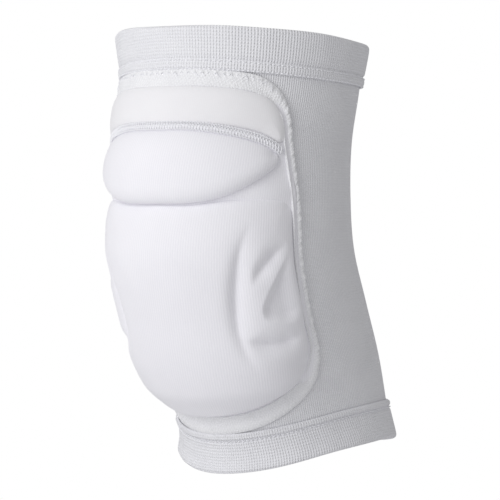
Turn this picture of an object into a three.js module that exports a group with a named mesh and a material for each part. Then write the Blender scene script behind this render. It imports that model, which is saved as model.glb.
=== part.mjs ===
// Volleyball knee pad, in the form that it has on a slightly bent leg.
// Millimetres, +Z up, the kneecap faces -Y. The origin lies in the middle of the leg at knee height.
// Everything follows one surface, the sleeve's outer face. A place on it is an angle round the leg,
// counted from the front towards +X, a height along the leg above the lower rim, and a rise off it.
import * as THREE from "three";
import { mergeVertices } from "three/addons/utils/BufferGeometryUtils.js";

// Sleeve
const SLEEVE_LENGTH = 218.6;
const KNEE_HEIGHT = 107.2;
const KNEE_WIDTH = 124;
const KNEE_DEPTH = 130;
const SHIN_SETBACK = 47;
const RIM_LEAN = 10;
const RIM_SADDLE = 5;
const SLEEVE_WALL = 1.6;

// Cuffs, each with a rolled welt that laps over the sleeve's end
const UPPER_CUFF_HEIGHT = 22.8;
const UPPER_WELT_WIDTH = 5.6;
const LOWER_CUFF_HEIGHT = 20.7;
const LOWER_WELT_WIDTH = 4;
const CUFF_RISE = 2;
const WELT_RISE = 2.9;

// Pad on the front, measured round and along the sleeve
const PAD_WIDTH = 153.6;
const TAPE_WIDTH = 5.8;
const TAPE_RISE = 2.6;
const WEB_THICKNESS = 1.2;
const THIGH_PANEL_WIDTH = 130;
const THIGH_PANEL_HEIGHT = 18.5;
const THIGH_PANEL_THICKNESS = 3;
const SEAM_WIDTH = 3.4;
const BROW_WIDTH = 132;
const BROW_HEIGHT = 35.2;
const BROW_THICKNESS = 8.2;
const CUP_WIDTH = 131;
const CUP_THICKNESS = 15.5;
const CUP_FOOT_GAP = 4;
const GROOVE_WIDTH = 3.2;
const CUSHION_EDGE = 0.7;
const CLEARANCE = 0.3;
const SEAT_GAP = 0.5;
const CREASE_GAP = 0.6;

// Sections of the leg from the lower rim to the upper one. Each column is a share:
// height of SLEEVE_LENGTH, width of KNEE_WIDTH, depth of KNEE_DEPTH, setback of SHIN_SETBACK,
// lean of RIM_LEAN (front up) and saddle of RIM_SADDLE (front and back down).
const SECTIONS = [
  { height: 0.0, width: 0.875, depth: 0.945, setback: 0.95, lean: -0.39, saddle: 1.04 },
  { height: 0.09, width: 0.885, depth: 0.95, setback: 0.82, lean: -0.6, saddle: 0.84 },
  { height: 0.21, width: 0.9, depth: 0.96, setback: 0.63, lean: -0.54, saddle: 0.45 },
  { height: 0.357, width: 0.925, depth: 0.99, setback: 0.29, lean: -0.34, saddle: 0.1 },
  { height: 0.487, width: 0.945, depth: 1.005, setback: 0.01, lean: -0.16, saddle: 0.0 },
  { height: 0.606, width: 0.96, depth: 1.0, setback: -0.08, lean: 0.02, saddle: 0.0 },
  { height: 0.753, width: 0.975, depth: 0.995, setback: -0.08, lean: 0.18, saddle: 0.0 },
  { height: 0.882, width: 1.0, depth: 0.99, setback: 0.03, lean: 0.32, saddle: -0.2 },
  { height: 1.0, width: 1.04, depth: 1.02, setback: 0.06, lean: 0.42, saddle: -0.25 },
];

// Outlines, right half only, from the lowest point in the middle to the highest one.
// across is a share of the piece's half width, up of its height.
const BORDER_OUTLINE = [
  { across: 0.0, up: 0.0 },
  { across: 0.5, up: 0.022 },
  { across: 0.8, up: 0.09 },
  { across: 0.93, up: 0.2 },
  { across: 0.95, up: 0.32 },
  { across: 1.0, up: 0.6 },
  { across: 0.94, up: 0.79 },
  { across: 0.86, up: 0.914 },
  { across: 0.68, up: 0.984 },
  { across: 0.4, up: 1.0 },
  { across: 0.0, up: 1.0 },
];
const THIGH_PANEL_OUTLINE = [
  { across: 0.0, up: 0.0 },
  { across: 0.5, up: -0.01 },
  { across: 0.8, up: -0.17 },
  { across: 0.95, up: -0.42 },
  { across: 0.985, up: -0.3 },
  { across: 0.98, up: 0.0 },
  { across: 0.92, up: 0.45 },
  { across: 0.82, up: 0.77 },
  { across: 0.62, up: 0.95 },
  { across: 0.38, up: 1.0 },
  { across: 0.0, up: 1.0 },
];
const BROW_OUTLINE = [
  { across: 0.0, up: 0.0 },
  { across: 0.3, up: 0.035 },
  { across: 0.56, up: 0.15 },
  { across: 0.75, up: 0.32 },
  { across: 0.94, up: 0.56 },
  { across: 0.995, up: 0.63 },
  { across: 0.94, up: 0.76 },
  { across: 0.8, up: 0.88 },
  { across: 0.55, up: 0.975 },
  { across: 0.3, up: 1.0 },
  { across: 0.0, up: 1.0 },
];
const CUP_OUTLINE = [
  { across: 0.0, up: 0.0 },
  { across: 0.3, up: 0.01 },
  { across: 0.55, up: 0.04 },
  { across: 0.78, up: 0.1 },
  { across: 0.93, up: 0.21 },
  { across: 0.985, up: 0.4 },
  { across: 1.01, up: 0.68 },
  { across: 1.03, up: 0.88 },
  { across: 1.02, up: 0.98 },
  { across: 0.96, up: 1.02 },
  { across: 0.8, up: 1.035 },
  { across: 0.56, up: 1.02 },
  { across: 0.3, up: 1.0 },
  { across: 0.0, up: 1.0 },
];

// How full the cup is along its height, from its foot to its top
const CUP_FULLNESS = [
  { up: 0.0, full: 0.94 },
  { up: 0.25, full: 1.0 },
  { up: 0.5, full: 0.82 },
  { up: 0.75, full: 0.64 },
  { up: 1.0, full: 0.46 },
];

// Grooves pressed into each flank of the cup. depth is a share of the cup's rise there, wide of
// GROOVE_WIDTH at the route's start and end, and the route has shares of the cup's half width and height.
const CUP_GROOVES = [
  { depth: 0.38, wide: [0.9, 1.3], route: [[0.72, 0.91], [0.62, 0.77], [0.53, 0.59], [0.5, 0.42], [0.61, 0.16]] },
  { depth: 0.5, wide: [0.9, 1.2], route: [[0.67, 0.65], [0.8, 0.705], [0.97, 0.785]] },
  { depth: 0.55, wide: [1.0, 1.5], route: [[0.75, 0.52], [0.84, 0.6], [0.93, 0.67]] },
  { depth: 0.55, wide: [1.0, 1.5], route: [[0.75, 0.52], [0.86, 0.54], [1.0, 0.57]] },
  { depth: 0.36, wide: [0.9, 1.2], route: [[0.55, 0.385], [0.71, 0.355], [0.88, 0.36], [1.0, 0.38]] },
];

// Fineness of the faces
const TURNS = 44;
const SLEEVE_RINGS = 12;
const TAPE_TURNS = 66;
const WEB_TURNS = 58;
const UNDER_RINGS = 7;
const PANEL_RINGS = [0, 0.17, 0.34, 0.51, 0.68, 0.85, 0.95, 1];
const PANEL_TURNS = 42;
const CUP_RINGS = [0, 0.15, 0.3, 0.42, 0.48, 0.54, 0.6, 0.66, 0.72, 0.78, 0.84, 0.9, 0.94, 0.975, 1];
const CUP_TURNS = 60;
const ROUTE_STEPS = 16;

function spread(first, last, count) {
  return Array.from({ length: count + 1 }, (unused, step) => first + ((last - first) * step) / count);
}

function interpolant(rows, key, columns) {
  const places = rows.map((row) => row[key]);
  const values = rows.flatMap((row) => columns.map((column) => row[column]));
  return new THREE.CubicInterpolant(places, values, columns.length);
}

const legSection = interpolant(SECTIONS, "height", ["width", "depth", "setback", "lean", "saddle"]);
const cupFullness = interpolant(CUP_FULLNESS, "up", ["full"]);

function legFace(angle, height) {
  const [width, depth, setback, lean, saddle] = legSection.evaluate(height / SLEEVE_LENGTH);
  return new THREE.Vector3(
    width * (KNEE_WIDTH / 2) * Math.sin(angle),
    setback * SHIN_SETBACK - depth * (KNEE_DEPTH / 2) * Math.cos(angle),
    height - KNEE_HEIGHT + lean * RIM_LEAN * Math.cos(angle) - saddle * RIM_SADDLE * Math.cos(2 * angle),
  );
}

// A point off the sleeve's outer face, along the true normal there
function offLeg(angle, height, rise) {
  const angleStep = 0.001;
  const heightStep = 0.1;
  const below = Math.max(height - heightStep, 0);
  const above = Math.min(height + heightStep, SLEEVE_LENGTH);
  const round = legFace(angle + angleStep, height).sub(legFace(angle - angleStep, height));
  const along = legFace(angle, above).sub(legFace(angle, below));
  return legFace(angle, height).addScaledVector(round.cross(along).normalize(), rise);
}

// The same, from a distance measured round the sleeve
function offPad(across, height, rise) {
  return offLeg(across / (KNEE_WIDTH / 2), height, rise);
}

// A lathe turns the profile, then each of its points is put where it belongs on the leg
function turned(profile, turns, place) {
  const points = profile.map(([first, second]) => new THREE.Vector2(first, second));
  const geometry = new THREE.LatheGeometry(points, turns);
  const position = geometry.getAttribute("position");
  for (let index = 0; index < position.count; index += 1) {
    const turn = (Math.floor(index / profile.length) % turns) / turns;
    const [first, second] = profile[index % profile.length];
    const spot = place(turn, first, second);
    position.setXYZ(index, spot.x, spot.y, spot.z);
  }
  geometry.deleteAttribute("normal");
  geometry.deleteAttribute("uv");
  return mergeVertices(geometry);
}

function ringRoundLeg(profile) {
  return turned(profile, TURNS, (turn, rise, height) => offLeg(turn * 2 * Math.PI, height, rise));
}

// A closed outline on the unrolled sleeve, in millimetres across and up
function closedOutline(rows, halfWidth, bottom, height) {
  const right = rows.map((row) => new THREE.Vector3(row.across * halfWidth, bottom + row.up * height, 0));
  const left = right.slice(1, -1).reverse().map((point) => new THREE.Vector3(-point.x, point.y, 0));
  return new THREE.CatmullRomCurve3([...right, ...left], true, "centripetal");
}

// The point of an outline, moved inwards by an inset
function insetPoint(outline, turn, inset) {
  const tangent = outline.getTangentAt(turn);
  return outline.getPointAt(turn).add(new THREE.Vector3(-tangent.y, tangent.x, 0).multiplyScalar(inset));
}

// A cushion on the web: rings of shares from its middle to its edge, and a crown for its rise
function cushion(outline, middle, topRings, turns, crown) {
  const under = spread(0, 1, UNDER_RINGS).map((share) => [share, 0]);
  const top = [...topRings].reverse().map((share) => [share, 1]);
  const profile = [...under, ...top];
  return turned(profile, turns, (turn, share, onTop) => {
    const edge = outline.getPointAt(turn);
    const across = edge.x * share;
    const height = middle + (edge.y - middle) * share;
    const rise = onTop ? CUSHION_EDGE + crown(share, across, height) : 0;
    return offPad(across, height, cushionSeat + rise);
  });
}

// Full in the middle and rounded off at the edge
function rounded(share, fullness, edge) {
  return (1 - share ** fullness) ** (1 / edge);
}

const upperWeltEdge = SLEEVE_LENGTH - UPPER_CUFF_HEIGHT;
const lowerWeltEdge = LOWER_CUFF_HEIGHT;
const sleeveTop = SLEEVE_LENGTH - UPPER_CUFF_HEIGHT + UPPER_WELT_WIDTH;
const sleeveBottom = LOWER_CUFF_HEIGHT - LOWER_WELT_WIDTH;

const padBottom = lowerWeltEdge + CREASE_GAP;
const padTop = upperWeltEdge - CREASE_GAP;
const padHeight = padTop - padBottom;
const webSeat = SEAT_GAP;
const cushionSeat = webSeat + WEB_THICKNESS + SEAT_GAP;
const panelTop = padTop - TAPE_WIDTH - CREASE_GAP;
const panelBottom = panelTop - THIGH_PANEL_HEIGHT;
const browTop = panelBottom - SEAM_WIDTH;
const browBottom = browTop - BROW_HEIGHT;
const cupTop = browBottom - CREASE_GAP;
const cupBottom = padBottom + TAPE_WIDTH + CUP_FOOT_GAP;
const cupHeight = cupTop - cupBottom;

const border = closedOutline(BORDER_OUTLINE, PAD_WIDTH / 2, padBottom, padHeight);

function sleeve() {
  const heights = [sleeveBottom, ...spread(lowerWeltEdge, upperWeltEdge, SLEEVE_RINGS), sleeveTop];
  const outside = heights.map((height) => [0, height]);
  const inside = [...heights].reverse().map((height) => [-SLEEVE_WALL, height]);
  return ringRoundLeg([...outside, ...inside, outside[0]]);
}

// The cuff's section, with the distance from its rim: band, rim and welt
function cuffSection(height, weltWidth) {
  const band = height - weltWidth;
  const soft = CUFF_RISE / 2;
  return [
    [-SLEEVE_WALL, band - CLEARANCE],
    [-SLEEVE_WALL, soft],
    [-SLEEVE_WALL + soft, 0],
    [CUFF_RISE - soft, 0],
    [CUFF_RISE, soft],
    [CUFF_RISE, band - soft],
    [WELT_RISE - CUSHION_EDGE, band],
    [WELT_RISE, band + weltWidth / 3],
    [WELT_RISE, height - weltWidth / 3],
    [WELT_RISE / 2, height],
    [CLEARANCE, height],
    [CLEARANCE, band - CLEARANCE],
    [-SLEEVE_WALL, band - CLEARANCE],
  ];
}

function lowerCuff() {
  return ringRoundLeg(cuffSection(LOWER_CUFF_HEIGHT, LOWER_WELT_WIDTH));
}

function upperCuff() {
  const section = cuffSection(UPPER_CUFF_HEIGHT, UPPER_WELT_WIDTH).reverse();
  return ringRoundLeg(section.map(([rise, distance]) => [rise, SLEEVE_LENGTH - distance]));
}

// A sewn tape with two ridges along the border of the pad
function borderTape() {
  const section = [
    [0, SEAT_GAP],
    [0, TAPE_RISE * 0.45],
    [TAPE_WIDTH * 0.2, TAPE_RISE * 0.75],
    [TAPE_WIDTH * 0.5, TAPE_RISE * 0.5],
    [TAPE_WIDTH * 0.8, TAPE_RISE],
    [TAPE_WIDTH, TAPE_RISE * 0.6],
    [TAPE_WIDTH, SEAT_GAP],
    [0, SEAT_GAP],
  ];
  return turned(section, TAPE_TURNS, (turn, inset, rise) => {
    const spot = insetPoint(border, turn, inset);
    return offPad(spot.x, spot.y, rise);
  });
}

function padWeb() {
  const shares = spread(0, 1, UNDER_RINGS);
  const under = shares.map((share) => [share, webSeat]);
  const top = [...shares].reverse().map((share) => [share, webSeat + WEB_THICKNESS]);
  const middle = (padBottom + padTop) / 2;
  return turned([...under, ...top], WEB_TURNS, (turn, share, rise) => {
    const edge = insetPoint(border, turn, TAPE_WIDTH + CLEARANCE);
    return offPad(edge.x * share, middle + (edge.y - middle) * share, rise);
  });
}

function thighPanel() {
  const outline = closedOutline(THIGH_PANEL_OUTLINE, THIGH_PANEL_WIDTH / 2, panelBottom, THIGH_PANEL_HEIGHT);
  const middle = panelBottom + THIGH_PANEL_HEIGHT / 3;
  return cushion(outline, middle, PANEL_RINGS, PANEL_TURNS, (share) =>
    (THIGH_PANEL_THICKNESS - CUSHION_EDGE) * rounded(share, 6, 2),
  );
}

function browPad() {
  const outline = closedOutline(BROW_OUTLINE, BROW_WIDTH / 2, browBottom, BROW_HEIGHT);
  const middle = browBottom + BROW_HEIGHT * 0.55;
  return cushion(outline, middle, PANEL_RINGS, PANEL_TURNS, (share) =>
    (BROW_THICKNESS - CUSHION_EDGE) * rounded(share, 2.6, 1.7),
  );
}

// How much of the cup's rise a flank's grooves leave at a place
function leftByGrooves(across, height, routes) {
  let left = 1;
  for (const { depth, wide, steps } of routes) {
    steps.forEach((step, index) => {
      const width = GROOVE_WIDTH * THREE.MathUtils.lerp(wide[0], wide[1], index / ROUTE_STEPS);
      const distance = Math.hypot(Math.abs(across) - step.x, height - step.y) / width;
      left = Math.min(left, 1 - depth * Math.exp(-0.5 * distance ** 2));
    });
  }
  return left;
}

function kneeCup() {
  const halfWidth = CUP_WIDTH / 2;
  const outline = closedOutline(CUP_OUTLINE, halfWidth, cupBottom, cupHeight);
  const routes = CUP_GROOVES.map(({ depth, wide, route }) => {
    const points = route.map(([across, up]) => new THREE.Vector2(across * halfWidth, cupBottom + up * cupHeight));
    return { depth, wide, steps: new THREE.SplineCurve(points).getSpacedPoints(ROUTE_STEPS) };
  });
  const middle = cupBottom + cupHeight / 2;
  return cushion(outline, middle, CUP_RINGS, CUP_TURNS, (share, across, height) => {
    const [full] = cupFullness.evaluate((height - cupBottom) / cupHeight);
    const dome = full * rounded(share, 5, 2);
    return (CUP_THICKNESS - CUSHION_EDGE) * dome * leftByGrooves(across, height, routes);
  });
}

function piece(name, geometry, color, roughness) {
  const mesh = new THREE.Mesh(geometry, new THREE.MeshStandardMaterial({ color, roughness, metalness: 0 }));
  mesh.name = name;
  return mesh;
}

const kneePad = new THREE.Group();
kneePad.add(
  piece("sleeve", sleeve(), "#dedee2", 0.95),
  piece("upper_cuff", upperCuff(), "#ececf4", 0.95),
  piece("lower_cuff", lowerCuff(), "#e8e8f0", 0.95),
  piece("border_tape", borderTape(), "#e6e6ea", 0.9),
  piece("pad_web", padWeb(), "#dcdce2", 0.9),
  piece("thigh_panel", thighPanel(), "#eeeeec", 0.85),
  piece("brow_pad", browPad(), "#ebeaef", 0.9),
  piece("knee_cup", kneeCup(), "#ebeaef", 0.9),
);

export default kneePad;
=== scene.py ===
# %% [markdown]
# # A volleyball knee pad, dressed for its picture
# A pull-on knee pad is an elastic knitted tube with a padded front sewn on inside a border tape.
# The frame from CAD says where each part lies. Here each cloth part is made again with soft rolls,
# pressed grooves, seams and real thread, and gets a knit that is drawn near its true pitch.

import math

import bmesh
import bpy
import numpy as np
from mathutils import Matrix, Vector


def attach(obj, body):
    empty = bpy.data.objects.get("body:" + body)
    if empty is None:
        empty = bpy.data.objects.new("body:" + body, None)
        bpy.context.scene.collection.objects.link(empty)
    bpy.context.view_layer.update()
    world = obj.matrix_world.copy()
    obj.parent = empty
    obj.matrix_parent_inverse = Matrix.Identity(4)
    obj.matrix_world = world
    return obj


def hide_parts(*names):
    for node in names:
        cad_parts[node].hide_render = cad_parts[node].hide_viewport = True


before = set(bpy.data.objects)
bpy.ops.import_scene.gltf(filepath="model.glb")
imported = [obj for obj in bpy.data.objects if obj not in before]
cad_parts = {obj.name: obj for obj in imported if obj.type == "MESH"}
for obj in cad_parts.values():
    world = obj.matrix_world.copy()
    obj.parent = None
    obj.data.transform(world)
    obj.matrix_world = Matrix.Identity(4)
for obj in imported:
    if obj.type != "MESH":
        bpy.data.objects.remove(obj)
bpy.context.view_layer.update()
print("frame nodes:", sorted(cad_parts))

# %% [markdown]
# ## The bent sleeve as a surface
# Every part follows the sleeve, which is bent as on a leg. A table of level sections gives the
# width, the depth and how far the sleeve sets back, and a smooth curve runs through the rows.
# With that, a part can be drawn flat, in millimetres round and up, and then laid on the leg. The
# elastic of the lower cuff pulls the front of the knit in a little, which the table leaves out.

# %% The sections of the sleeve
SLEEVE_LENGTH = 218.6
KNEE_HEIGHT = 107.2
KNEE_WIDTH = 124.0
KNEE_DEPTH = 130.0
SHIN_SETBACK = 47.0
RIM_LEAN = 10.0
RIM_SADDLE = 5.0
SLEEVE_WALL = 1.6
GRIP_DEPTH = 2.2
GRIP_FULL_ABOVE = 16.0
GRIP_ENDS_AT = 46.0
GRIP_FADE = 14.0

# share of the height, then width, depth, setback, lean and saddle as shares of the sizes above
SECTIONS = np.array([
    (0.0, 0.875, 0.945, 0.95, -0.39, 1.04),
    (0.09, 0.885, 0.95, 0.82, -0.6, 0.84),
    (0.21, 0.9, 0.96, 0.63, -0.54, 0.45),
    (0.357, 0.925, 0.99, 0.29, -0.34, 0.1),
    (0.487, 0.945, 1.005, 0.01, -0.16, 0.0),
    (0.606, 0.96, 1.0, -0.08, 0.02, 0.0),
    (0.753, 0.975, 0.995, -0.08, 0.18, 0.0),
    (0.882, 1.0, 0.99, 0.03, 0.32, -0.2),
    (1.0, 1.04, 1.02, 0.06, 0.42, -0.25),
])


def through_rows(rows, share):
    """The values of a table at any share of its first column, on a smooth curve."""
    share = np.clip(np.asarray(share, float), rows[0, 0], rows[-1, 0])
    first = np.vstack([[2 * rows[0, 0] - rows[1, 0], *rows[1, 1:]]])
    last = np.vstack([[2 * rows[-1, 0] - rows[-2, 0], *rows[-2, 1:]]])
    table = np.vstack([first, rows, last])
    index = np.clip(np.searchsorted(rows[:, 0], share, side="right"), 1, len(rows) - 1)
    before, start, end, after = (table[index + step] for step in (-1, 0, 1, 2))
    half = (end[:, :1] - start[:, :1]) / 2
    pull_in = half / (start[:, :1] - before[:, :1])
    pull_out = half / (after[:, :1] - end[:, :1])
    p = (share[:, None] - start[:, :1]) / (2 * half)
    from_before = -pull_in * p**3 + 2 * pull_in * p**2 - pull_in * p
    from_start = (1 + pull_in) * p**3 - (1.5 + 2 * pull_in) * p**2 + (pull_in - 0.5) * p + 1
    from_end = -(1 + pull_out) * p**3 + (1.5 + pull_out) * p**2 + 0.5 * p
    from_after = pull_out * (p**3 - p**2)
    mixed = from_before * before + from_start * start + from_end * end + from_after * after
    return mixed[:, 1:].T


def leg_face(angle, height):
    """A point of the sleeve's outer face in millimetres. The angle is 0 at the kneecap."""
    width, depth, setback, lean, saddle = through_rows(SECTIONS, height / SLEEVE_LENGTH)
    across = width * KNEE_WIDTH / 2 * np.sin(angle)
    back = setback * SHIN_SETBACK - depth * KNEE_DEPTH / 2 * np.cos(angle)
    tilt = lean * RIM_LEAN * np.cos(angle) - saddle * RIM_SADDLE * np.cos(2 * angle)
    return np.stack([across, back, height - KNEE_HEIGHT + tilt], axis=1)


def eased(share):
    """From 0 to 1 with a soft start and a soft end."""
    share = np.clip(share, 0, 1)
    return share * share * (3 - 2 * share)


def off_leg(angle, height, rise):
    """A point in metres at a rise above the sleeve, along the true normal there."""
    in_front = eased((np.cos(angle) + 0.3) / 0.7)
    grip = eased(height / GRIP_FULL_ABOVE) * eased((GRIP_ENDS_AT - height) / GRIP_FADE) * in_front
    rise = np.asarray(rise) - GRIP_DEPTH * grip
    level = np.clip(height, 0.1, SLEEVE_LENGTH - 0.1)
    around = leg_face(angle + 0.001, level) - leg_face(angle - 0.001, level)
    along = leg_face(angle, level + 0.1) - leg_face(angle, level - 0.1)
    normal = np.cross(around, along)
    normal /= np.linalg.norm(normal, axis=1)[:, None]
    return (leg_face(angle, height) + normal * rise[..., None]) / 1000


def off_pad(across, height, rise):
    """The same, from a distance measured round the sleeve from the middle of the front."""
    return off_leg(across / (KNEE_WIDTH / 2), height, rise)


kneecap = off_pad(np.zeros(1), np.full(1, KNEE_HEIGHT), np.zeros(1))[0]
print("kneecap on the sleeve at", np.round(kneecap, 4))

# %% [markdown]
# ## Cloth from a grid
# Knitted cloth is a sheet, so each part starts as a flat grid whose vertices are then moved to
# where the cloth lies. The flat place of each corner is kept as a UV map, so the knit follows the
# cloth round every bend. The map's unit is KNIT_FIELD millimetres.

# %% Turning a grid into cloth
KNIT_FIELD = 500.0


def lay_grid(bm, columns, rows, place):
    """A grid in bm whose vertices place() moves, with the flat place kept in the map "knit"."""
    bmesh.ops.create_grid(bm, x_segments=columns, y_segments=rows, size=0.5)
    bm.verts.index_update()
    flat = np.array([vert.co[:2] for vert in bm.verts])
    flat = (flat - flat.min(axis=0)) / (flat.max(axis=0) - flat.min(axis=0))
    spots, knit = place(flat[:, 0], flat[:, 1])
    for vert in bm.verts:
        vert.co = spots[vert.index]
    layer = bm.loops.layers.uv.new("knit")
    for face in bm.faces:
        face.smooth = True
        for loop in face.loops:
            loop[layer].uv = knit[loop.vert.index] / KNIT_FIELD


def finish_piece(name, bm, node_names, material):
    """A finished mesh becomes an object that rides on the frame."""
    mesh = bpy.data.meshes.new(name)
    bm.to_mesh(mesh)
    bm.free()
    piece = bpy.data.objects.new(name, mesh)
    bpy.context.scene.collection.objects.link(piece)
    mesh.materials.append(material)
    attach(piece, "root")
    if node_names:
        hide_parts(*node_names)
    print(name, "has", len(mesh.polygons), "faces")
    return piece


def close_ring(bm):
    """The grid's meeting edges become one, and its faces are turned outwards."""
    bmesh.ops.remove_doubles(bm, verts=bm.verts, dist=1e-6)
    bmesh.ops.recalc_face_normals(bm, faces=bm.faces)


def face_out(bm):
    """An open sheet on the leg is turned so that its faces look away from the leg."""
    outward = 0.0
    for face in bm.faces:
        middle = face.calc_center_median()
        face.normal_update()
        outward += face.normal.dot(Vector((middle.x, middle.y - 0.03, 0)))
    if outward < 0:
        bmesh.ops.reverse_faces(bm, faces=bm.faces)


# %% [markdown]
# ## White knits
# All of the pad is white polyester and elastane, and the eye tells its parts apart by their knit:
# a square rib on the cuffs, fine ribs on the sleeve, a smooth brushed knit over the foam. A small
# function adds one node with its settings and links, and the patterns are sines of a real pitch.
# The rib runs on the flat map, and the soft unevenness reads Object coordinates, so that nothing
# breaks where the tube's grid meets itself at the back.

# %% The node function and colours
def linear(hex_colour):
    """A colour written as sRGB hex, as the shader wants it."""
    parts = [int(hex_colour[at:at + 2], 16) / 255 for at in (1, 3, 5)]
    return [part / 12.92 if part <= 0.04045 else ((part + 0.055) / 1.055) ** 2.4 for part in parts] + [1.0]


def add_node(tree, kind, inputs=None, **settings):
    """A node with its settings, whose inputs are numbers, colours or other nodes' outputs."""
    made = tree.nodes.new(kind)
    for setting, value in settings.items():
        setattr(made, setting, value)
    for key, value in (inputs or {}).items():
        if isinstance(value, bpy.types.NodeSocket):
            tree.links.new(value, made.inputs[key])
        else:
            made.inputs[key].default_value = value
    return made


def sine_of(tree, distance, pitch):
    """A wave from 0 to 1 that repeats every pitch, in millimetres."""
    turns = add_node(tree, "ShaderNodeMath", {0: distance, 1: 2 * math.pi / pitch}, operation="MULTIPLY")
    wave = add_node(tree, "ShaderNodeMath", {0: turns.outputs[0]}, operation="SINE")
    lifted = add_node(tree, "ShaderNodeMath", {
        0: wave.outputs[0], 1: 0.5, 2: 0.5,
    }, operation="MULTIPLY_ADD")
    return lifted.outputs[0]


def knit_material(
        name, colour, shade, rib, course, square, slant, deep, pit_shade_amount, patchy, roughness, sheen, fuzz):
    """A knit of ribs, crossed by courses as far as it is square.

    Sizes are in millimetres and the slant in degrees. The hollows between the yarns are painted darker
    towards the shade colour: painted shade, standing in for the shadow inside the knit."""
    material = bpy.data.materials.new(name)
    material.use_nodes = True
    tree = material.node_tree
    tree.nodes.clear()
    flat = add_node(tree, "ShaderNodeUVMap", uv_map="knit")
    cloth = add_node(tree, "ShaderNodeMapping", {
        "Vector": flat.outputs["UV"],
        "Rotation": (0.0, 0.0, math.radians(slant)),
        "Scale": (KNIT_FIELD, KNIT_FIELD, KNIT_FIELD),
    })
    body = add_node(tree, "ShaderNodeTexCoord")
    solid = add_node(tree, "ShaderNodeMapping", {
        "Vector": body.outputs["Object"], "Scale": (1000.0, 1000.0, 1000.0),
    })
    drift = add_node(tree, "ShaderNodeTexNoise", {
        "Vector": solid.outputs[0], "Scale": 0.06, "Detail": 2.0, "Roughness": 0.5,
    })
    loose = add_node(tree, "ShaderNodeTexNoise", {
        "Vector": solid.outputs[0], "Scale": 0.35, "Detail": 2.0, "Roughness": 0.6,
    })
    waver = add_node(tree, "ShaderNodeVectorMath", {
        0: loose.outputs["Color"], 1: (0.5, 0.5, 0.5), 2: (-0.25, -0.25, -0.25),
    }, operation="MULTIPLY_ADD")
    bent = add_node(tree, "ShaderNodeVectorMath", {
        0: cloth.outputs[0], 1: waver.outputs[0],
    }, operation="ADD")
    place = add_node(tree, "ShaderNodeSeparateXYZ", {0: bent.outputs[0]})
    ribs = sine_of(tree, place.outputs["X"], rib)
    courses = sine_of(tree, place.outputs["Y"], course)
    crossed = add_node(tree, "ShaderNodeMath", {
        0: courses, 1: square, 2: 1 - square,
    }, operation="MULTIPLY_ADD")
    mixed = add_node(tree, "ShaderNodeMath", {0: ribs, 1: crossed.outputs[0]}, operation="MULTIPLY")
    fibres = add_node(tree, "ShaderNodeTexNoise", {
        "Vector": solid.outputs[0], "Scale": 2.4, "Detail": 3.0, "Roughness": 0.7,
    })
    hairy = add_node(tree, "ShaderNodeMath", {
        0: fibres.outputs[0], 1: fuzz, 2: mixed.outputs[0],
    }, operation="MULTIPLY_ADD")
    relief = add_node(tree, "ShaderNodeBump", {
        "Strength": 1.0, "Distance": deep / 1000, "Height": hairy.outputs[0],
    })
    worn = add_node(tree, "ShaderNodeMapRange", {
        0: drift.outputs[0], 1: 0.3, 2: 0.7, 3: 0.0, 4: patchy,
    })
    # painted shade: the hollows of the rib and course pattern are darkened in the base colour
    painted_pit_shade = add_node(tree, "ShaderNodeMath", {
        0: mixed.outputs[0], 1: -pit_shade_amount, 2: pit_shade_amount,
    }, operation="MULTIPLY_ADD")
    # painted shade in the hollows, plus slow random patches of tone that the knit has under any light
    pit_shade_and_patches = add_node(tree, "ShaderNodeMath", {
        0: painted_pit_shade.outputs[0], 1: worn.outputs[0],
    }, operation="ADD", use_clamp=True)
    tone = add_node(tree, "ShaderNodeMix", {
        0: pit_shade_and_patches.outputs[0], 6: linear(colour), 7: linear(shade),
    }, data_type="RGBA")
    skin = add_node(tree, "ShaderNodeBsdfPrincipled", {
        "Base Color": tone.outputs[2],
        "Roughness": roughness,
        "IOR": 1.5,
        "Specular IOR Level": 0.25,
        "Sheen Weight": sheen,
        "Sheen Roughness": 0.6,
        "Normal": relief.outputs[0],
    })
    add_node(tree, "ShaderNodeOutputMaterial", {"Surface": skin.outputs[0]})
    return material


# %% [markdown]
# The real yarns are about 0.25 mm thick, too fine for a picture of this size, so what is drawn is
# the rib that the yarns make: 1.2 mm wide on the sleeve and 1.5 mm on the square rib.

# %% The finishes
# in each finish the second colour is the painted shade that the knit's hollows are darkened towards
# thick bouncy polyester, knitted square: matt, with a deep grid of small knots and painted shade between
# them
rib_knit = knit_material(
    "white polyester square rib knit", "#fafafd", "#b4b4c0",
    rib=1.5, course=1.6, square=0.7, slant=0.0,
    deep=0.44, pit_shade_amount=0.24, patchy=0.06, roughness=0.9, sheen=0.1, fuzz=0.3)
# elastane covered in polyester, knitted in fine ribs: matt, with painted shade in its many grooves
sleeve_knit = knit_material(
    "white elastane fine rib knit", "#f7f7fa", "#aaaab6",
    rib=1.25, course=1.4, square=0.45, slant=0.0,
    deep=0.3, pit_shade_amount=0.25, patchy=0.06, roughness=0.9, sheen=0.15, fuzz=0.3)
# brushed knit pulled over moulded foam: nearly smooth, with a soft sheen along the swells
cover_knit = knit_material(
    "white brushed knit over moulded foam", "#f6f5fa", "#c0c0cc",
    rib=1.2, course=1.4, square=0.2, slant=8.0,
    deep=0.06, pit_shade_amount=0.13, patchy=0.04, roughness=0.82, sheen=0.3, fuzz=0.3)
# warp knit tricot: the smoothest and least bluish white, with hardly any rib
tricot = knit_material(
    "off-white warp knit tricot", "#f1f0f3", "#d0d0d6",
    rib=0.9, course=0.9, square=0.5, slant=0.0,
    deep=0.04, pit_shade_amount=0.08, patchy=0.06, roughness=0.78, sheen=0.3, fuzz=0.3)
# felted tape: fibres stand up all over it, so it looks rough and bright
tape_knit = knit_material(
    "white felted binding tape", "#fbfbfd", "#b8b8c2",
    rib=1.1, course=1.3, square=1.0, slant=32.0,
    deep=0.14, pit_shade_amount=0.16, patchy=0.1, roughness=0.9, sheen=0.2, fuzz=1.6)
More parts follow.
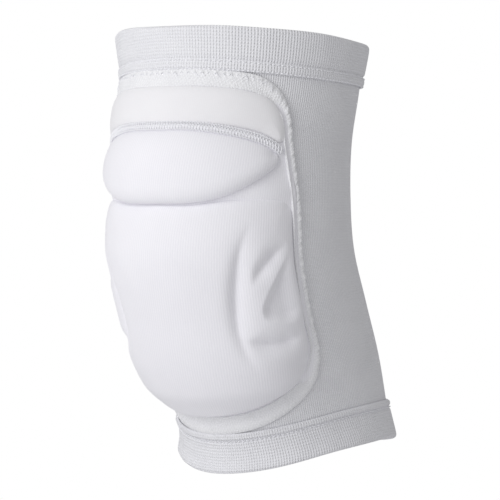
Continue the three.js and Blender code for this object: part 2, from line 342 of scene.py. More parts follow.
# spun polyester thread: two plies wound round each other, with a slight sheen
sewing_thread = knit_material(
    "white spun polyester sewing thread", "#f8f8fc", "#c8c8d0",
    rib=0.5, course=0.9, square=0.4, slant=35.0,
    deep=0.06, pit_shade_amount=0.12, patchy=0.05, roughness=0.75, sheen=0.3, fuzz=0.4)

# %% [markdown]
# ## The sleeve
# The sleeve is a tube of fine rib knit, 1.6 mm thick, that runs from cuff to cuff under the pad.
# A grid wrapped round the leg makes its outer face, and Solidify gives it its wall. At the back of
# the bent knee the knit gathers into shallow folds.

# %% The tube
UPPER_CUFF = 22.8
UPPER_WELT = 5.6
LOWER_CUFF = 20.7
LOWER_WELT = 4.0
# a whole number of both ribs goes into this girth, so the pattern closes at the back
KNIT_GIRTH = 390.0
upper_edge = SLEEVE_LENGTH - UPPER_CUFF
sleeve_top = upper_edge + UPPER_WELT
sleeve_bottom = LOWER_CUFF - LOWER_WELT
FOLD_DEPTH = 0.55


def soft_folds(angle, height):
    """Shallow folds of the knit behind the knee, in millimetres."""
    behind = np.clip((-np.cos(angle) - 0.75) / 0.25, 0, 1)
    near_knee = np.exp(-((height - 96) / 34) ** 2)
    sway = 3.5 * np.sin(2 * angle) + 2.0 * np.sin(5 * angle + 1.0)
    wave = np.sin((height + sway) * 2 * np.pi / 15.0) + 0.5 * np.sin((height - sway) * 2 * np.pi / 8.7)
    return FOLD_DEPTH * behind * near_knee * wave


def place_sleeve(turn, up):
    angle = (turn - 0.5) * 2 * np.pi
    height = sleeve_bottom + up * (sleeve_top - sleeve_bottom)
    spots = off_leg(angle, height, soft_folds(angle, height))
    return spots, np.stack([turn * KNIT_GIRTH, height], axis=1)


bm = bmesh.new()
lay_grid(bm, 236, 100, place_sleeve)
close_ring(bm)
sleeve_tube = finish_piece("sleeve_tube", bm, ["sleeve"], sleeve_knit)
wall = sleeve_tube.modifiers.new("wall", "SOLIDIFY")
wall.thickness = SLEEVE_WALL / 1000
wall.offset = -1.0

# %% [markdown]
# ## The cuffs
# Each cuff is a square rib band with a rolled, stitched welt over the sleeve's end. Its section is
# a closed loop of points, each a rise off the leg and a distance from the rim. A smooth curve goes
# through them and is carried round the leg, so the rim and the welt stay soft and round.

# %% The section of a cuff
def smooth_loop(points, count):
    """Evenly spread points on a smooth closed curve through the given ones."""
    points = np.asarray(points, float)
    pieces = []
    for index in range(len(points)):
        p0, p1, p2, p3 = (points[(index + step) % len(points)] for step in (-1, 0, 1, 2))
        d0, d1, d2 = (max(np.linalg.norm(b - a) ** 0.5, 1e-4) for a, b in ((p0, p1), (p1, p2), (p2, p3)))
        slope_in = ((p1 - p0) / d0 - (p2 - p0) / (d0 + d1) + (p2 - p1) / d1) * d1
        slope_out = ((p2 - p1) / d1 - (p3 - p1) / (d1 + d2) + (p3 - p2) / d2) * d1
        t = np.linspace(0, 1, 24, endpoint=False)[:, None]
        bend = (2 * t**3 - 3 * t**2 + 1) * p1 + (t**3 - 2 * t**2 + t) * slope_in
        pieces.append(bend + (3 * t**2 - 2 * t**3) * p2 + (t**3 - t**2) * slope_out)
    fine = np.vstack(pieces + [points[:1]])
    length = np.concatenate([[0], np.cumsum(np.linalg.norm(np.diff(fine, axis=0), axis=1))])
    even = np.linspace(0, length[-1], count + 1)
    return np.stack([np.interp(even, length, fine[:, axis]) for axis in range(2)], axis=1)


def cuff_section(height, welt):
    """Rise and distance from the rim round a cuff's section, in millimetres."""
    band = height - welt
    return [
        (-1.6, band - 0.4), (-1.65, band * 0.6), (-1.6, 3.0), (-1.3, 0.9), (-0.3, 0.1), (0.9, 0.25),
        (1.75, 1.3), (1.95, 3.2), (1.75, band * 0.5), (1.5, band - 2.4), (1.35, band - 1.2),
        (0.75, band - 0.35), (1.2, band + welt * 0.12), (1.8, band + welt * 0.3),
        (2.0, band + welt * 0.5), (1.9, band + welt * 0.7), (1.55, band + welt * 0.85),
        (1.0, height - 0.15), (0.5, height + 0.1), (0.2, height - 0.2),
        (0.2, band + welt * 0.5), (0.1, band + 0.1), (-0.6, band - 0.35),
    ]


# %% A cuff round the leg
CUFF_AROUND = 380
CUFF_STEPS = 76
UPPER_FLARE = 0.7
LOWER_FLARE = 1.3


def cuff(name, node, height, welt, upper):
    """One cuff, as a closed ring round the leg. Its rim flares and droops unevenly."""
    section = smooth_loop(cuff_section(height, welt), CUFF_STEPS)
    flare = UPPER_FLARE if upper else LOWER_FLARE

    def place(turn, along):
        angle = (turn - 0.5) * 2 * np.pi
        step = np.round(along * CUFF_STEPS).astype(int)
        rise, distance = section[step].T
        near_rim = np.exp(-distance / 6)
        droop = 0.3 * np.sin(3 * angle + 1.0) + 0.2 * np.sin(7 * angle + (2.0 if upper else 0.3))
        front = np.exp(-((angle - 0.1) / 0.6) ** 2)
        droop = droop + front if upper else droop - 1.6 * front
        puffy = 0.12 * np.sin(11 * angle) + 0.1 * np.sin(23 * angle + 2)
        rise = rise + puffy * np.clip(rise, 0, 3) / 3 + flare * near_rim
        if not upper:
            slack = np.exp(-((angle + 0.35) / 0.45) ** 2) * np.exp(-((distance - 10) / 6) ** 2)
            crease = np.sin(distance * 2 * np.pi / 7.5 + 1.6 * angle)
            rise = rise + 0.18 * slack * crease * np.clip(rise, 0, 1)
        distance = distance + droop * near_rim
        up = SLEEVE_LENGTH - distance if upper else distance
        knit_up = np.where(rise > -0.5, up, up + 40)
        return off_leg(angle, up, rise), np.stack([turn * KNIT_GIRTH, knit_up], axis=1)

    bm = bmesh.new()
    lay_grid(bm, CUFF_AROUND, CUFF_STEPS, place)
    close_ring(bm)
    finish_piece(name, bm, [node], rib_knit)


cuff("thigh_cuff", "upper_cuff", UPPER_CUFF, UPPER_WELT, upper=True)
cuff("shin_cuff", "lower_cuff", LOWER_CUFF, LOWER_WELT, upper=False)

# %% [markdown]
# ## Outlines of the padded front
# The front is cut to smooth outlines. Each is a few points on the right half, as shares of a half
# width and of a height, mirrored to the left. A patch of cloth is then spread between four
# stretches of its outline, so that its rows run beside the edge and a crease there stays clean.

# %% Outlines and patches
PAD_BOTTOM = LOWER_CUFF + 0.6
PAD_TOP = upper_edge - 0.6
TAPE_WIDTH = 5.8
PANEL_TOP = PAD_TOP - TAPE_WIDTH - 0.6
PANEL_HEIGHT = 18.5
SEAM_WIDTH = 3.4
BROW_HEIGHT = 35.2
BROW_TOP = PANEL_TOP - PANEL_HEIGHT - SEAM_WIDTH
CUP_TOP = BROW_TOP - BROW_HEIGHT - 0.6
CUP_BOTTOM = PAD_BOTTOM + TAPE_WIDTH + 4.0

BORDER = [(0, 0), (0.5, 0.022), (0.8, 0.09), (0.93, 0.2), (0.95, 0.32), (1, 0.6), (0.94, 0.79),
          (0.86, 0.914), (0.68, 0.984), (0.4, 1), (0, 1)]
PANEL = [(0, 0), (0.5, -0.01), (0.8, -0.17), (0.95, -0.42), (0.985, -0.3), (0.98, 0), (0.92, 0.45),
         (0.82, 0.77), (0.62, 0.95), (0.38, 1), (0, 1)]
BROW = [(0, 0), (0.3, 0.01), (0.5, 0.07), (0.66, 0.18), (0.8, 0.325), (0.9, 0.455), (0.95, 0.55),
        (0.965, 0.635), (0.93, 0.73), (0.84, 0.82), (0.68, 0.905), (0.46, 0.97), (0.25, 1), (0, 1)]
CUP = [(0, 0), (0.3, 0.01), (0.55, 0.04), (0.78, 0.1), (0.95, 0.21), (1.015, 0.4), (1.06, 0.68),
       (1.08, 0.88), (1.075, 0.98), (1.02, 1.02), (0.8, 1.03), (0.56, 1.02), (0.3, 1), (0, 1)]


def cut_outline(rows, half_width, bottom, height, count=720):
    """A closed outline from the bottom middle by way of the right side, in millimetres."""
    right = [(across * half_width, bottom + up * height) for across, up in rows]
    left = [(-across, up) for across, up in right[1:-1]][::-1]
    return smooth_loop(right + left, count)


def inset_outline(outline, inset):
    """The same outline, moved inwards."""
    ahead = np.roll(outline[:-1], -1, axis=0) - np.roll(outline[:-1], 1, axis=0)
    inward = np.stack([-ahead[:, 1], ahead[:, 0]], axis=1) / np.linalg.norm(ahead, axis=1)[:, None]
    moved = outline[:-1] + inward * inset
    return np.vstack([moved, moved[:1]])


def on_outline(outline, turn):
    """Points of an outline at shares of its length."""
    place = np.mod(turn, 1.0) * (len(outline) - 1)
    steps = np.arange(len(outline))
    return np.stack([np.interp(place, steps, outline[:, axis]) for axis in range(2)], axis=1)


def nearest_turn(outline, across, up):
    """The share of the outline's length that lies nearest to a point."""
    return np.argmin(np.hypot(outline[:, 0] - across, outline[:, 1] - up)) / (len(outline) - 1)


def spread_patch(outline, low, high, u, v):
    """A point of the patch between four stretches of an outline, with its right corners given."""
    u, v = u[:, None], v[:, None]
    bottom = on_outline(outline, (-low + 2 * low * u)[:, 0])
    top = on_outline(outline, (1 - high + (2 * high - 1) * u)[:, 0])
    right = on_outline(outline, (low + (high - low) * v)[:, 0])
    left = right * [-1, 1]
    corner_low = on_outline(outline, np.array([low]))
    corner_high = on_outline(outline, np.array([high]))
    flat = (1 - v) * ((1 - u) * corner_low * [-1, 1] + u * corner_low)
    flat = flat + v * ((1 - u) * corner_high * [-1, 1] + u * corner_high)
    return (1 - v) * bottom + v * top + (1 - u) * left + u * right - flat


def towards_edges(share, amount):
    """Moves evenly spread shares closer to both ends."""
    return (1 - amount) * share + amount * (1 - np.cos(np.pi * share)) / 2


def gap_to(route, spots):
    """How far each spot is from a route of straight steps, in millimetres."""
    nearest = np.full(len(spots), 1e9)
    for start, end in zip(route[:-1], route[1:]):
        step = end - start
        share = np.clip(((spots - start) @ step) / (step @ step), 0, 1)
        nearest = np.minimum(nearest, np.linalg.norm(spots - start - share[:, None] * step, axis=1))
    return nearest


BORDER_HALF = 76.8
PANEL_HALF = 67.0
BROW_HALF = 66.0
CUP_HALF = 65.5
border = cut_outline(BORDER, BORDER_HALF, PAD_BOTTOM, PAD_TOP - PAD_BOTTOM)
panel_edge = cut_outline(PANEL, PANEL_HALF, PANEL_TOP - PANEL_HEIGHT - 1.0, PANEL_HEIGHT - 0.2, 360)
brow_edge = cut_outline(BROW, BROW_HALF, BROW_TOP - BROW_HEIGHT, BROW_HEIGHT, 360)
cup_edge = cut_outline(CUP, CUP_HALF, CUP_BOTTOM, CUP_TOP - CUP_BOTTOM, 360)
print("pad border from", np.round(border.min(axis=0), 1), "to", np.round(border.max(axis=0), 1))

# %% [markdown]
# ## The web between the cushions
# Between the cushions the cover is bonded straight to the sleeve, as a thin flat web. It shows as
# a felted flange below the cup, where it lies lower, and fills the corner under the tip of the
# brow with a soft swell. Under the seam above the brow it is padded, to carry the stitches.

# %% The web
WEB_RISE = 1.75
CORNER_SWELL = 1.8
SEAM_SWELL = 1.9
FLANGE_DROP = 0.9
web_edge = inset_outline(border, 2.6)
seam_line = inset_outline(brow_edge, -SEAM_WIDTH / 2)[64:297]


def web_rise(spots):
    """The web's rise: swollen under the brow's tips and along the seam, lower at the flange."""
    corner = np.exp(-((np.abs(spots[:, 0]) - 60) / 15) ** 2 - ((spots[:, 1] - 137) / 6) ** 2)
    seam = np.exp(-(gap_to(seam_line[::4], spots) / 2.2) ** 2) * np.clip((spots[:, 1] - 154) / 5, 0, 1)
    flange = eased((46 - spots[:, 1]) / 8)
    return WEB_RISE + CORNER_SWELL * corner + SEAM_SWELL * seam - FLANGE_DROP * flange


def place_web(u, v):
    low, high = nearest_turn(web_edge, 66, 37), nearest_turn(web_edge, 64, 182)
    spots = spread_patch(web_edge, low, high, u, v)
    return off_pad(spots[:, 0], spots[:, 1], web_rise(spots)), spots


bm = bmesh.new()
lay_grid(bm, 150, 190, place_web)
face_out(bm)
pad_backing = finish_piece("pad_backing", bm, ["pad_web"], cover_knit)
backing = pad_backing.modifiers.new("backing", "SOLIDIFY")
backing.thickness = 0.0011
backing.offset = -1.0

# %% [markdown]
# ## The cushions
# The brow and the cup are foam, moulded hot in a press with the cover over it. So their edges are
# pressed thin, their middles are full, and the grooves are crisp at the bottom and round at the
# top. Each is a patch with its rows close together near the edge, raised by a crown, and then
# closed underneath by extruding it back to the sleeve.

# %% A cushion on the leg
def cushion(name, node, material, edge, corners, grid, crown, crowding=0.75, floor=1.3):
    """A closed cushion: crown() gives the rise and the shift of each spot of the patch."""
    low, high = corners

    def place(u, v):
        spots = spread_patch(edge, low, high, towards_edges(u, crowding), towards_edges(v, crowding))
        rise, moved = crown(spots)
        place.under = off_pad(spots[:, 0], spots[:, 1], np.full(len(spots), floor))
        return off_pad(moved[:, 0], moved[:, 1], rise), spots

    bm = bmesh.new()
    lay_grid(bm, *grid, place)
    face_out(bm)
    tag = bm.verts.layers.int.new("spot")
    for vert in bm.verts:
        vert[tag] = vert.index
    sheet = bm.faces[:]
    lift = bmesh.ops.extrude_face_region(bm, geom=sheet, use_keep_orig=True)
    fresh = [item for item in lift["geom"] if isinstance(item, bmesh.types.BMVert)]
    for vert in fresh:
        vert.co = place.under[vert[tag]]
    bmesh.ops.remove_doubles(bm, verts=bm.verts, dist=1e-6)
    bmesh.ops.recalc_face_normals(bm, faces=bm.faces)
    piece = finish_piece(name, bm, [node], material)


# %% [markdown]
# ### The brow
# The brow is a lens above the kneecap. It is fullest low in its middle and steep along its foot,
# so a dark crease runs under each tip.

# %% The brow cushion
BROW_FULL = 6.6
BROW_HEAD_REACH = 26.0
BROW_FOOT_REACH = 9.0
low_tip = nearest_turn(brow_edge, 61.6, 149.9)
high_tip = nearest_turn(brow_edge, 61.6, 157.2)
brow_foot = on_outline(brow_edge, np.linspace(-high_tip, high_tip, 100))
brow_head = on_outline(brow_edge, np.linspace(high_tip, 1 - high_tip, 90))


def swell(gap, reach, blunt):
    """From 0 at an edge to 1 at a reach from it, steep at the edge and round above."""
    return (1 - (1 - np.clip(gap / reach, 0, 1)) ** 2.4) ** blunt


def brow_crown(spots):
    """A long slope down from the head, and a short steep one at the foot."""
    from_head = swell(gap_to(brow_head, spots), BROW_HEAD_REACH, 0.6)
    from_foot = swell(gap_to(brow_foot, spots), BROW_FOOT_REACH, 0.44)
    return 2.0 + BROW_FULL * from_head * from_foot, spots


cushion(
    "brow_cushion", "brow_pad", cover_knit, brow_edge,
    (low_tip, high_tip), (190, 70), brow_crown)

# %% [markdown]
# ### The cup
# The cup covers the kneecap and the top of the shin. Both flanks have the same pressed grooves: a
# long curved one, a slanting one, a three-cornered pocket and a low one.

# %% The grooved cup
CUP_FULL = 14.8
CUP_END_REACH = 50.0
CUP_FLANK_REACH = 38.0
FOOT_OVERHANG = 2.2
# share of the cup's height, and how full it is there
CUP_FULLNESS = np.array([
    (0.0, 0.84), (0.12, 0.95), (0.28, 1.0), (0.5, 0.84), (0.75, 0.64), (1.0, 0.46),
])
# depth in mm, width of the bank on the left and on the right of the route, share of the route in
# which the groove fades in and out, and the route in shares of the cup's half width and height
GROOVES = [
    # the long one
    (4.6, 4.6, 2.2, 0.45, 0.5, [(0.75, 0.93), (0.662, 0.82), (0.598, 0.7), (0.537, 0.565),
                               (0.507, 0.44), (0.52, 0.335), (0.55, 0.27), (0.58, 0.2)]),
    # the slanting one
    (3.6, 2.6, 2.8, 0.4, 0.4, [(0.655, 0.62), (0.715, 0.668), (0.776, 0.706), (0.852, 0.748),
                              (0.917, 0.782), (1.0, 0.82)]),
    # the low one
    (4.2, 3.0, 3.0, 0.45, 0.35, [(0.48, 0.42), (0.56, 0.392), (0.63, 0.373), (0.713, 0.36), (0.8, 0.357),
                                (0.88, 0.363), (0.97, 0.385)]),
]
# the two sides of the pocket, in the same shares
POCKET_UPPER = [(0.68, 0.47), (0.7, 0.545), (0.745, 0.59), (0.8, 0.635), (0.87, 0.69), (0.93, 0.74),
                (1.0, 0.8)]
POCKET_LOWER = [(0.68, 0.475), (0.771, 0.455), (0.842, 0.44), (0.912, 0.44), (0.979, 0.45),
                (1.05, 0.47)]
POCKET_DEPTH = 4.2
POCKET_UPPER_BANK = 4.6
POCKET_LOWER_BANK = 6.0
CREASE_ROUNDING = 0.7
cup_height = CUP_TOP - CUP_BOTTOM


def open_curve(points, count):
    """A smooth open route through a few points."""
    points = np.asarray(points, float)
    reach = np.concatenate([[0], np.cumsum(np.linalg.norm(np.diff(points, axis=0), axis=1))])
    rows = np.column_stack([reach / reach[-1], points])
    return through_rows(rows, np.linspace(0, 1, count)).T


def beside(route, spots):
    """Signed distance from a route, positive on its left, and the share along it."""
    nearest = np.full(len(spots), 1e9)
    signed = np.zeros(len(spots))
    along = np.zeros(len(spots))
    for step, (start, end) in enumerate(zip(route[:-1], route[1:])):
        run = end - start
        share = np.clip(((spots - start) @ run) / (run @ run), 0, 1)
        off = spots - start - share[:, None] * run
        gap = np.linalg.norm(off, axis=1)
        side = np.where(run[0] * off[:, 1] - run[1] * off[:, 0] >= 0, 1.0, -1.0)
        closer = gap < nearest
        nearest = np.where(closer, gap, nearest)
        signed = np.where(closer, gap * side, signed)
        along = np.where(closer, (step + share) / (len(route) - 1), along)
    return signed, along


def on_cup(points, count=26):
    """A route given in shares of the cup, in millimetres."""
    return open_curve(points, count) * [CUP_HALF, cup_height] + [0, CUP_BOTTOM]


def pressed(spots):
    """How deep the foam is pressed in each flank, in millimetres, the same left and right."""
    right = np.abs(spots) * [1, 0] + spots * [0, 1]
    total = np.zeros(len(spots))
    for depth, left_bank, right_bank, fade_in, fade_out, route in GROOVES:
        signed, along = beside(on_cup(route), right)
        width = np.where(signed > 0, left_bank, right_bank)
        valley = np.exp(-((np.hypot(signed, CREASE_ROUNDING) - CREASE_ROUNDING) / width) ** 1.15)
        total += (depth * eased(along / fade_in) * eased((1 - along) / fade_out) * valley) ** 3
    below_upper = -beside(on_cup(POCKET_UPPER), right)[0]
    above_lower = beside(on_cup(POCKET_LOWER), right)[0]
    inside = eased(below_upper / POCKET_UPPER_BANK) * eased(above_lower / POCKET_LOWER_BANK)
    inside = inside * eased((68.0 - right[:, 0]) / 12)
    total += (POCKET_DEPTH * inside) ** 3
    return total ** (1 / 3)


cup_corners = nearest_turn(cup_edge, 62, 52), nearest_turn(cup_edge, 69.5, 131)
cup_foot = on_outline(cup_edge, np.linspace(-cup_corners[0], cup_corners[0], 100))
cup_head = on_outline(cup_edge, np.linspace(cup_corners[1], 1 - cup_corners[1], 80))
cup_flank = on_outline(cup_edge, np.linspace(*cup_corners, 60))


def cup_crown(spots):
    """Steep at the foot and at the head, but falling off gently to the tape on both flanks."""
    right = np.abs(spots) * [1, 0] + spots * [0, 1]
    to_ends = np.minimum(gap_to(cup_foot, spots), gap_to(cup_head, spots))
    to_flank = gap_to(cup_flank, right)
    share = np.clip(1 - to_ends / CUP_END_REACH, 0, 1)
    up = np.clip((spots[:, 1] - CUP_BOTTOM) / cup_height, 0, 1)
    full = through_rows(CUP_FULLNESS, up)[0]
    blunt = 0.5 - 0.12 * np.exp(-(up / 0.2) ** 2)
    body = (1 - share**5) ** blunt * swell(to_flank, CUP_FLANK_REACH, 0.55)
    inner = np.minimum(to_ends, to_flank)
    rise = 1.9 + CUP_FULL * full * body - pressed(spots) * eased(inner / 4)
    foot = np.exp(-((spots[:, 1] - CUP_BOTTOM) / 11) ** 2) * np.clip(inner / 2.5, 0, 1)
    moved = spots - np.stack([0 * foot, FOOT_OVERHANG * foot * np.exp(-inner / 8)], axis=1)
    return np.maximum(rise, 1.5), moved


cushion(
    "cup_cushion", "knee_cup", cover_knit, cup_edge,
    cup_corners, (232, 200), cup_crown, crowding=0.45)

# %% [markdown]
# ### The thigh panel
# Above the brow lies a thin panel of tricot over 3 mm of foam. It looks smoother and a little
# warmer than the rest, and its corners hang down beside the brow's seam.

# %% The thigh panel
PANEL_FULL = 2.5


def panel_crown(spots):
    """Flat, with a rounded edge all the way round."""
    return 2.2 + PANEL_FULL * swell(gap_to(panel_edge[::2], spots), 8.0, 0.7), spots


panel_corners = nearest_turn(panel_edge, 64, 162), nearest_turn(panel_edge, 59, 182)
cushion(
    "thigh_cushion", "thigh_panel", tricot, panel_edge,
    panel_corners, (170, 44), panel_crown)

# %% [markdown]
# ## The border tape
# A folded tape is sewn over the raw edge of the pad with a flatlock stitch. Beside the cushions it
# has a thin bright cord on its inner edge, then a valley, and a fuller outer edge that a zigzag
# thread pulls into puckers. At the top and at the foot it lies flatter and wider, and looks felted.

# %% The sections of the tape
# millimetres in from the outer edge, and rise
TAPE_SECTION = [
    (0.0, 0.35), (-0.1, 1.0), (0.3, 1.9), (1.1, 2.5), (2.1, 2.35), (2.9, 1.6), (3.5, 1.0),
    (4.1, 0.95), (4.75, 1.4), (4.95, 2.7), (5.2, 3.3), (5.45, 3.0), (5.7, 1.9), (5.8, 0.8),
    (5.5, 0.35), (2.8, 0.3),
]
FLANGE_SECTION = [
    (0.0, 0.35), (-0.05, 0.9), (0.3, 1.6), (1.1, 2.1), (2.1, 2.2), (2.8, 2.1), (3.3, 2.05),
    (3.9, 2.05), (4.35, 2.1), (4.7, 2.15), (5.1, 2.15), (5.45, 2.1), (5.75, 1.5), (5.8, 0.7),
    (5.5, 0.35), (2.8, 0.3),
]
TAPE_AROUND = 48
TAPE_STEPS = 1400
tape_round = smooth_loop(TAPE_SECTION, TAPE_AROUND)
flange_round = smooth_loop(FLANGE_SECTION, TAPE_AROUND)
TAPE_LENGTH = np.linalg.norm(np.diff(border, axis=0), axis=1).sum()


def tape_spot(turn, inset, rise):
    """A point of the tape: share of the border, millimetres in from its edge, and rise."""
    ahead = on_outline(border, turn + 0.0008) - on_outline(border, turn - 0.0008)
    inward = np.stack([-ahead[:, 1], ahead[:, 0]], axis=1) / np.linalg.norm(ahead, axis=1)[:, None]
    spots = on_outline(border, turn) + inward * np.asarray(inset)[:, None]
    return off_pad(spots[:, 0], spots[:, 1], rise)


def corded(turn):
    """How far the tape shows its cord: fully at the sides, little at the top and at the foot."""
    height = on_outline(border, turn)[:, 1]
    return (0.3 + 0.7 * eased((height - 60) / 40)) * (1 - 0.85 * eased((height - 178) / 9))


def puckers(turn, inset):
    """Lumps that the stitches pull into the outer edge, slanted and uneven as in sewn cloth."""
    run = (turn * TAPE_LENGTH + 0.9 * inset) * 2 * np.pi
    long_lumps = 0.8 * np.sin(run / 7.3 + 0.9 * np.sin(run / 23.0))
    return long_lumps + 0.8 * np.sin(run / 3.7 + 0.8 * np.sin(run / 11.0)) + 0.5 * np.sin(run / 2.1)


# %% The tape round the pad
PUCKER_HEIGHT = 0.36
FELT_HEIGHT = 0.13
LOW_WIDENING = 0.45
HIGH_WIDENING = 0.38


def place_tape(turn, over):
    step = np.round(over * TAPE_AROUND).astype(int)
    cord = corded(turn)[:, None]
    inset, rise = (tape_round[step] * cord + flange_round[step] * (1 - cord)).T
    low = eased((60 - on_outline(border, turn)[:, 1]) / 30)
    high = eased((on_outline(border, turn)[:, 1] - 176) / 12)
    outer = np.clip(1 - inset / 3.2, 0, 1)
    run = turn * TAPE_LENGTH * 2 * np.pi
    felted = np.sin(run / 2.3 + 0.8 * np.sin(run / 7.0))
    felted = felted * np.sin(inset * 2 * np.pi / 2.1 + np.sin(run / 5.1))
    lumps = (PUCKER_HEIGHT - 0.2 * high) * puckers(turn, inset) * (1 - low) * (0.08 + 0.92 * outer)
    lumps = lumps + FELT_HEIGHT * felted * np.maximum(high, 0.7 * low)
    rise = rise - FLANGE_DROP * low * eased(inset / TAPE_WIDTH)
    rise = rise + np.clip(rise - 0.6, 0, 1) * lumps
    widened = inset * (1 + LOW_WIDENING * low + HIGH_WIDENING * high)
    widened = widened - np.maximum(high, low) * np.clip(1 - inset, 0, 1) * 0.8
    knit = np.stack([inset + np.where(rise < 0.6, 20, 0), turn * TAPE_LENGTH], axis=1)
    return tape_spot(turn, widened, rise), knit


bm = bmesh.new()
lay_grid(bm, TAPE_STEPS, TAPE_AROUND, place_tape)
close_ring(bm)
finish_piece("binding", bm, ["border_tape"], tape_knit)

# %% [markdown]
# ## Thread
# The seams are what shows that cloth was sewn. A stitch is a thin tube along a path: it swings from
# side to side for a zigzag, turns like a spring for an overlock, and dips in and out for a row of
# plain stitches. Real thread is 0.3 mm thick, and it is drawn twice as thick so that it shows.

# %% A thread along a path
def thread(name, path, radius, closed):
    """A tube of six sides along a path of points in metres."""
    path = np.asarray(path, float)
    count = len(path) - 1
    ahead = np.gradient(path, axis=0)
    if closed:
        ahead[0] = path[1] - path[-2]
        ahead[-1] = ahead[0]
    ahead /= np.linalg.norm(ahead, axis=1)[:, None]
    outward = path - [0, 0.02, 0]
    outward[:, 2] = 0
    side = np.cross(ahead, outward)
    side /= np.linalg.norm(side, axis=1)[:, None]
    lift = np.cross(side, ahead)

    def place(along, round_share):
        step = np.round(along * count).astype(int)
        angle = round_share * 2 * np.pi
        off = side[step] * np.cos(angle)[:, None] + lift[step] * np.sin(angle)[:, None]
        knit = np.stack([round_share * 2.0, along * count * 0.3], axis=1)
        return path[step] + off * radius / 1000, knit

    bm = bmesh.new()
    lay_grid(bm, count, 6, place)
    close_ring(bm)
    finish_piece(name, bm, [], sewing_thread)


# %% [markdown]
# ### The rows of stitches
# Each row is a function that gives its path. The flatlock zigzag follows the tape's puckers, so it
# is half sunk in the knit. The overlock seam is two coils side by side, as two loopers make it, and
# the welts have plain rows round the leg.

# %% The stitches
ZIGZAG_PITCH = 3.6


def tape_zigzag():
    """Zigzag on the outer edge of the tape, half sunk in the knit."""
    swings = int(TAPE_LENGTH / ZIGZAG_PITCH)
    turn = np.linspace(0, 1, swings * 8 + 1)
    phase = turn * swings * 2 * np.pi
    swing = np.arcsin(0.98 * np.sin(phase)) / (np.pi / 2)
    sunk = 1.2 * (1 - eased((on_outline(border, turn)[:, 1] - 70) / 30))
    lumps = 0.3 * puckers(turn, 1.6 + 1.1 * swing)
    return tape_spot(turn, 1.6 + 1.1 * swing, 2.1 - 0.25 * swing - sunk + lumps)


def seam_coil(offset, lead, turns=84):
    """Overlock loops along the seam between the thigh panel and the brow."""
    share = np.linspace(0, 1, turns * 9 + 1)
    first, last = nearest_turn(brow_edge, 64.5, 157), 1 - nearest_turn(brow_edge, 64.5, 157)
    outer = inset_outline(brow_edge, -(SEAM_WIDTH / 2 + offset))
    spots = on_outline(outer, first + (last - first) * share)
    phase = share * turns * 2 * np.pi + lead
    height = spots[:, 1] + 0.95 * np.sin(phase)
    return off_pad(spots[:, 0] + 0.35 * np.sin(2 * phase), height, 3.5 + 0.2 * np.cos(phase))


def round_row(up, stitch, rise, dip):
    """Plain stitches round the leg that dip into the knit."""
    count = int(math.pi * KNEE_WIDTH / stitch)
    angle = np.linspace(0, 2 * np.pi, count * 8 + 1)
    return off_leg(angle, np.full(len(angle), up), rise + dip * np.sin(angle * count))


thread("tape_zigzag_stitches", tape_zigzag(), 0.26, closed=True)
thread("seam_overlock_low", seam_coil(-0.6, 0.0), 0.34, closed=False)
thread("seam_overlock_high", seam_coil(1.2, 1.6), 0.34, closed=False)

# %% The rows at the welts
welt_foot = round_row(upper_edge + 0.6, 2.4, 1.2, 0.5)
welt_head = round_row(upper_edge + UPPER_WELT - 0.9, 2.4, 1.4, 0.4)
shin_row = round_row(LOWER_CUFF - LOWER_WELT - 0.2, 2.6, 1.15, 0.55)
thread("thigh_welt_stitches", welt_foot, 0.3, closed=True)
thread("thigh_band_stitches", welt_head, 0.26, closed=True)
thread("shin_welt_stitches", shin_row, 0.28, closed=True)

# %% [markdown]
# ## Floor
# The pad is held up as on a leg, over a plain pale floor. It is stage and no part of the pad.

# %% The floor
FLOOR_RADIUS = 0.8
FLOOR_HEIGHT = -0.27
bm = bmesh.new()
bmesh.ops.create_circle(bm, cap_ends=True, segments=96, radius=FLOOR_RADIUS)
bmesh.ops.translate(bm, vec=(0, 0, FLOOR_HEIGHT), verts=bm.verts)
floor_mesh = bpy.data.meshes.new("floor")
bm.to_mesh(floor_mesh)
bm.free()
floor = bpy.data.objects.new("floor", floor_mesh)
bpy.context.scene.collection.objects.link(floor)
plaster = bpy.data.materials.new("pale matt floor")
plaster.use_nodes = True
# matt and nearly white, so that it throws a little soft light up under the pad
matt = plaster.node_tree.nodes["Principled BSDF"]
matt.inputs["Base Color"].default_value = linear("#ececee")
matt.inputs["Roughness"].default_value = 0.9
floor_mesh.materials.append(plaster)

# %% [markdown]
# ## Light
# White on white needs a light that is large and soft but comes from one side, here from the front
# left of the camera, so that the far side turns grey and each crease gets a dark bank. A low light
# fills the flange under the cup. The background is white to the camera and dimmer as a light.

# %% The lights
AMBIENT = 0.46
world = bpy.data.worlds.new("studio")
bpy.context.scene.world = world
world.use_nodes = True
sky = world.node_tree
sky.nodes.clear()
ray = add_node(sky, "ShaderNodeLightPath")
strength = add_node(sky, "ShaderNodeMapRange", {
    0: ray.outputs["Is Camera Ray"], 1: 0.0, 2: 1.0, 3: AMBIENT, 4: 1.0,
})
glow = add_node(sky, "ShaderNodeBackground", {
    "Color": (1.0, 1.0, 1.0, 1.0), "Strength": strength.outputs[0],
})
add_node(sky, "ShaderNodeOutputWorld", {"Surface": glow.outputs[0]})


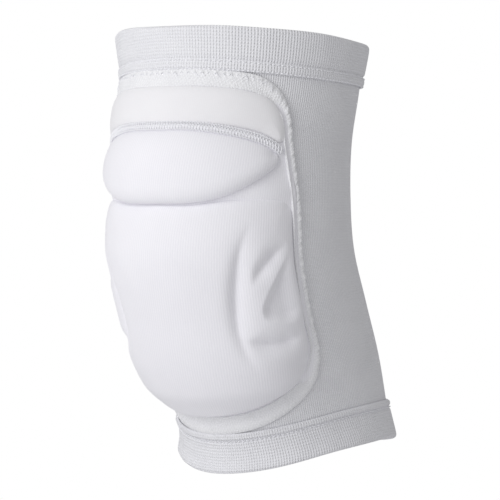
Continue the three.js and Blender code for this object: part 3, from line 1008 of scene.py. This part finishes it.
def soft_box(name, azimuth, elevation, distance, size, power):
    """A square soft light that looks at the pad from an azimuth and elevation in degrees."""
    turn, lift = math.radians(azimuth), math.radians(elevation)
    away = Vector((math.sin(turn) * math.cos(lift), -math.cos(turn) * math.cos(lift), math.sin(lift)))
    data = bpy.data.lights.new(name, "AREA")
    data.shape = "SQUARE"
    data.size = size
    data.energy = power
    lamp = bpy.data.objects.new(name, data)
    lamp.location = away * distance
    lamp.rotation_mode = "QUATERNION"
    lamp.rotation_quaternion = away.to_track_quat("Z", "Y")
    bpy.context.scene.collection.objects.link(lamp)


soft_box("key", azimuth=-4, elevation=27, distance=1.6, size=1.1, power=9.5)
soft_box("left fill", azimuth=-75, elevation=10, distance=1.6, size=1.0, power=1.8)
soft_box("low fill", azimuth=-4, elevation=-9, distance=1.6, size=0.9, power=5.3)

# %% [markdown]
# ## Camera
# The picture shows the pad from 36 degrees round its left side, level with the knee and from far
# enough that the rims are nearly flat curves. The lens is worked out from the scale of the picture.

# %% The camera
PICTURE_AZIMUTH = math.radians(36)
PICTURE_RISE = math.radians(0.83)
CAMERA_REACH = 1.43
SENSOR_WIDTH = 36.0
PICTURE_WIDTH = 500 * 0.5345
AIM_SETBACK = 0.0097
aim = Vector((0, AIM_SETBACK, 0))
away = Vector((
    math.sin(PICTURE_AZIMUTH) * math.cos(PICTURE_RISE),
    -math.cos(PICTURE_AZIMUTH) * math.cos(PICTURE_RISE),
    math.sin(PICTURE_RISE),
))
camera_data = bpy.data.cameras.new("camera")
camera = bpy.data.objects.new("camera", camera_data)
bpy.context.scene.collection.objects.link(camera)
camera_data.sensor_width = SENSOR_WIDTH
camera_data.lens = SENSOR_WIDTH * CAMERA_REACH * 1000 / PICTURE_WIDTH
camera.location = aim + away * CAMERA_REACH
camera.rotation_mode = "QUATERNION"
camera.rotation_quaternion = away.to_track_quat("Z", "Y")
bpy.context.scene.camera = camera
bpy.context.scene.view_settings.view_transform = "Standard"
print("lens", round(camera_data.lens, 1), "mm")
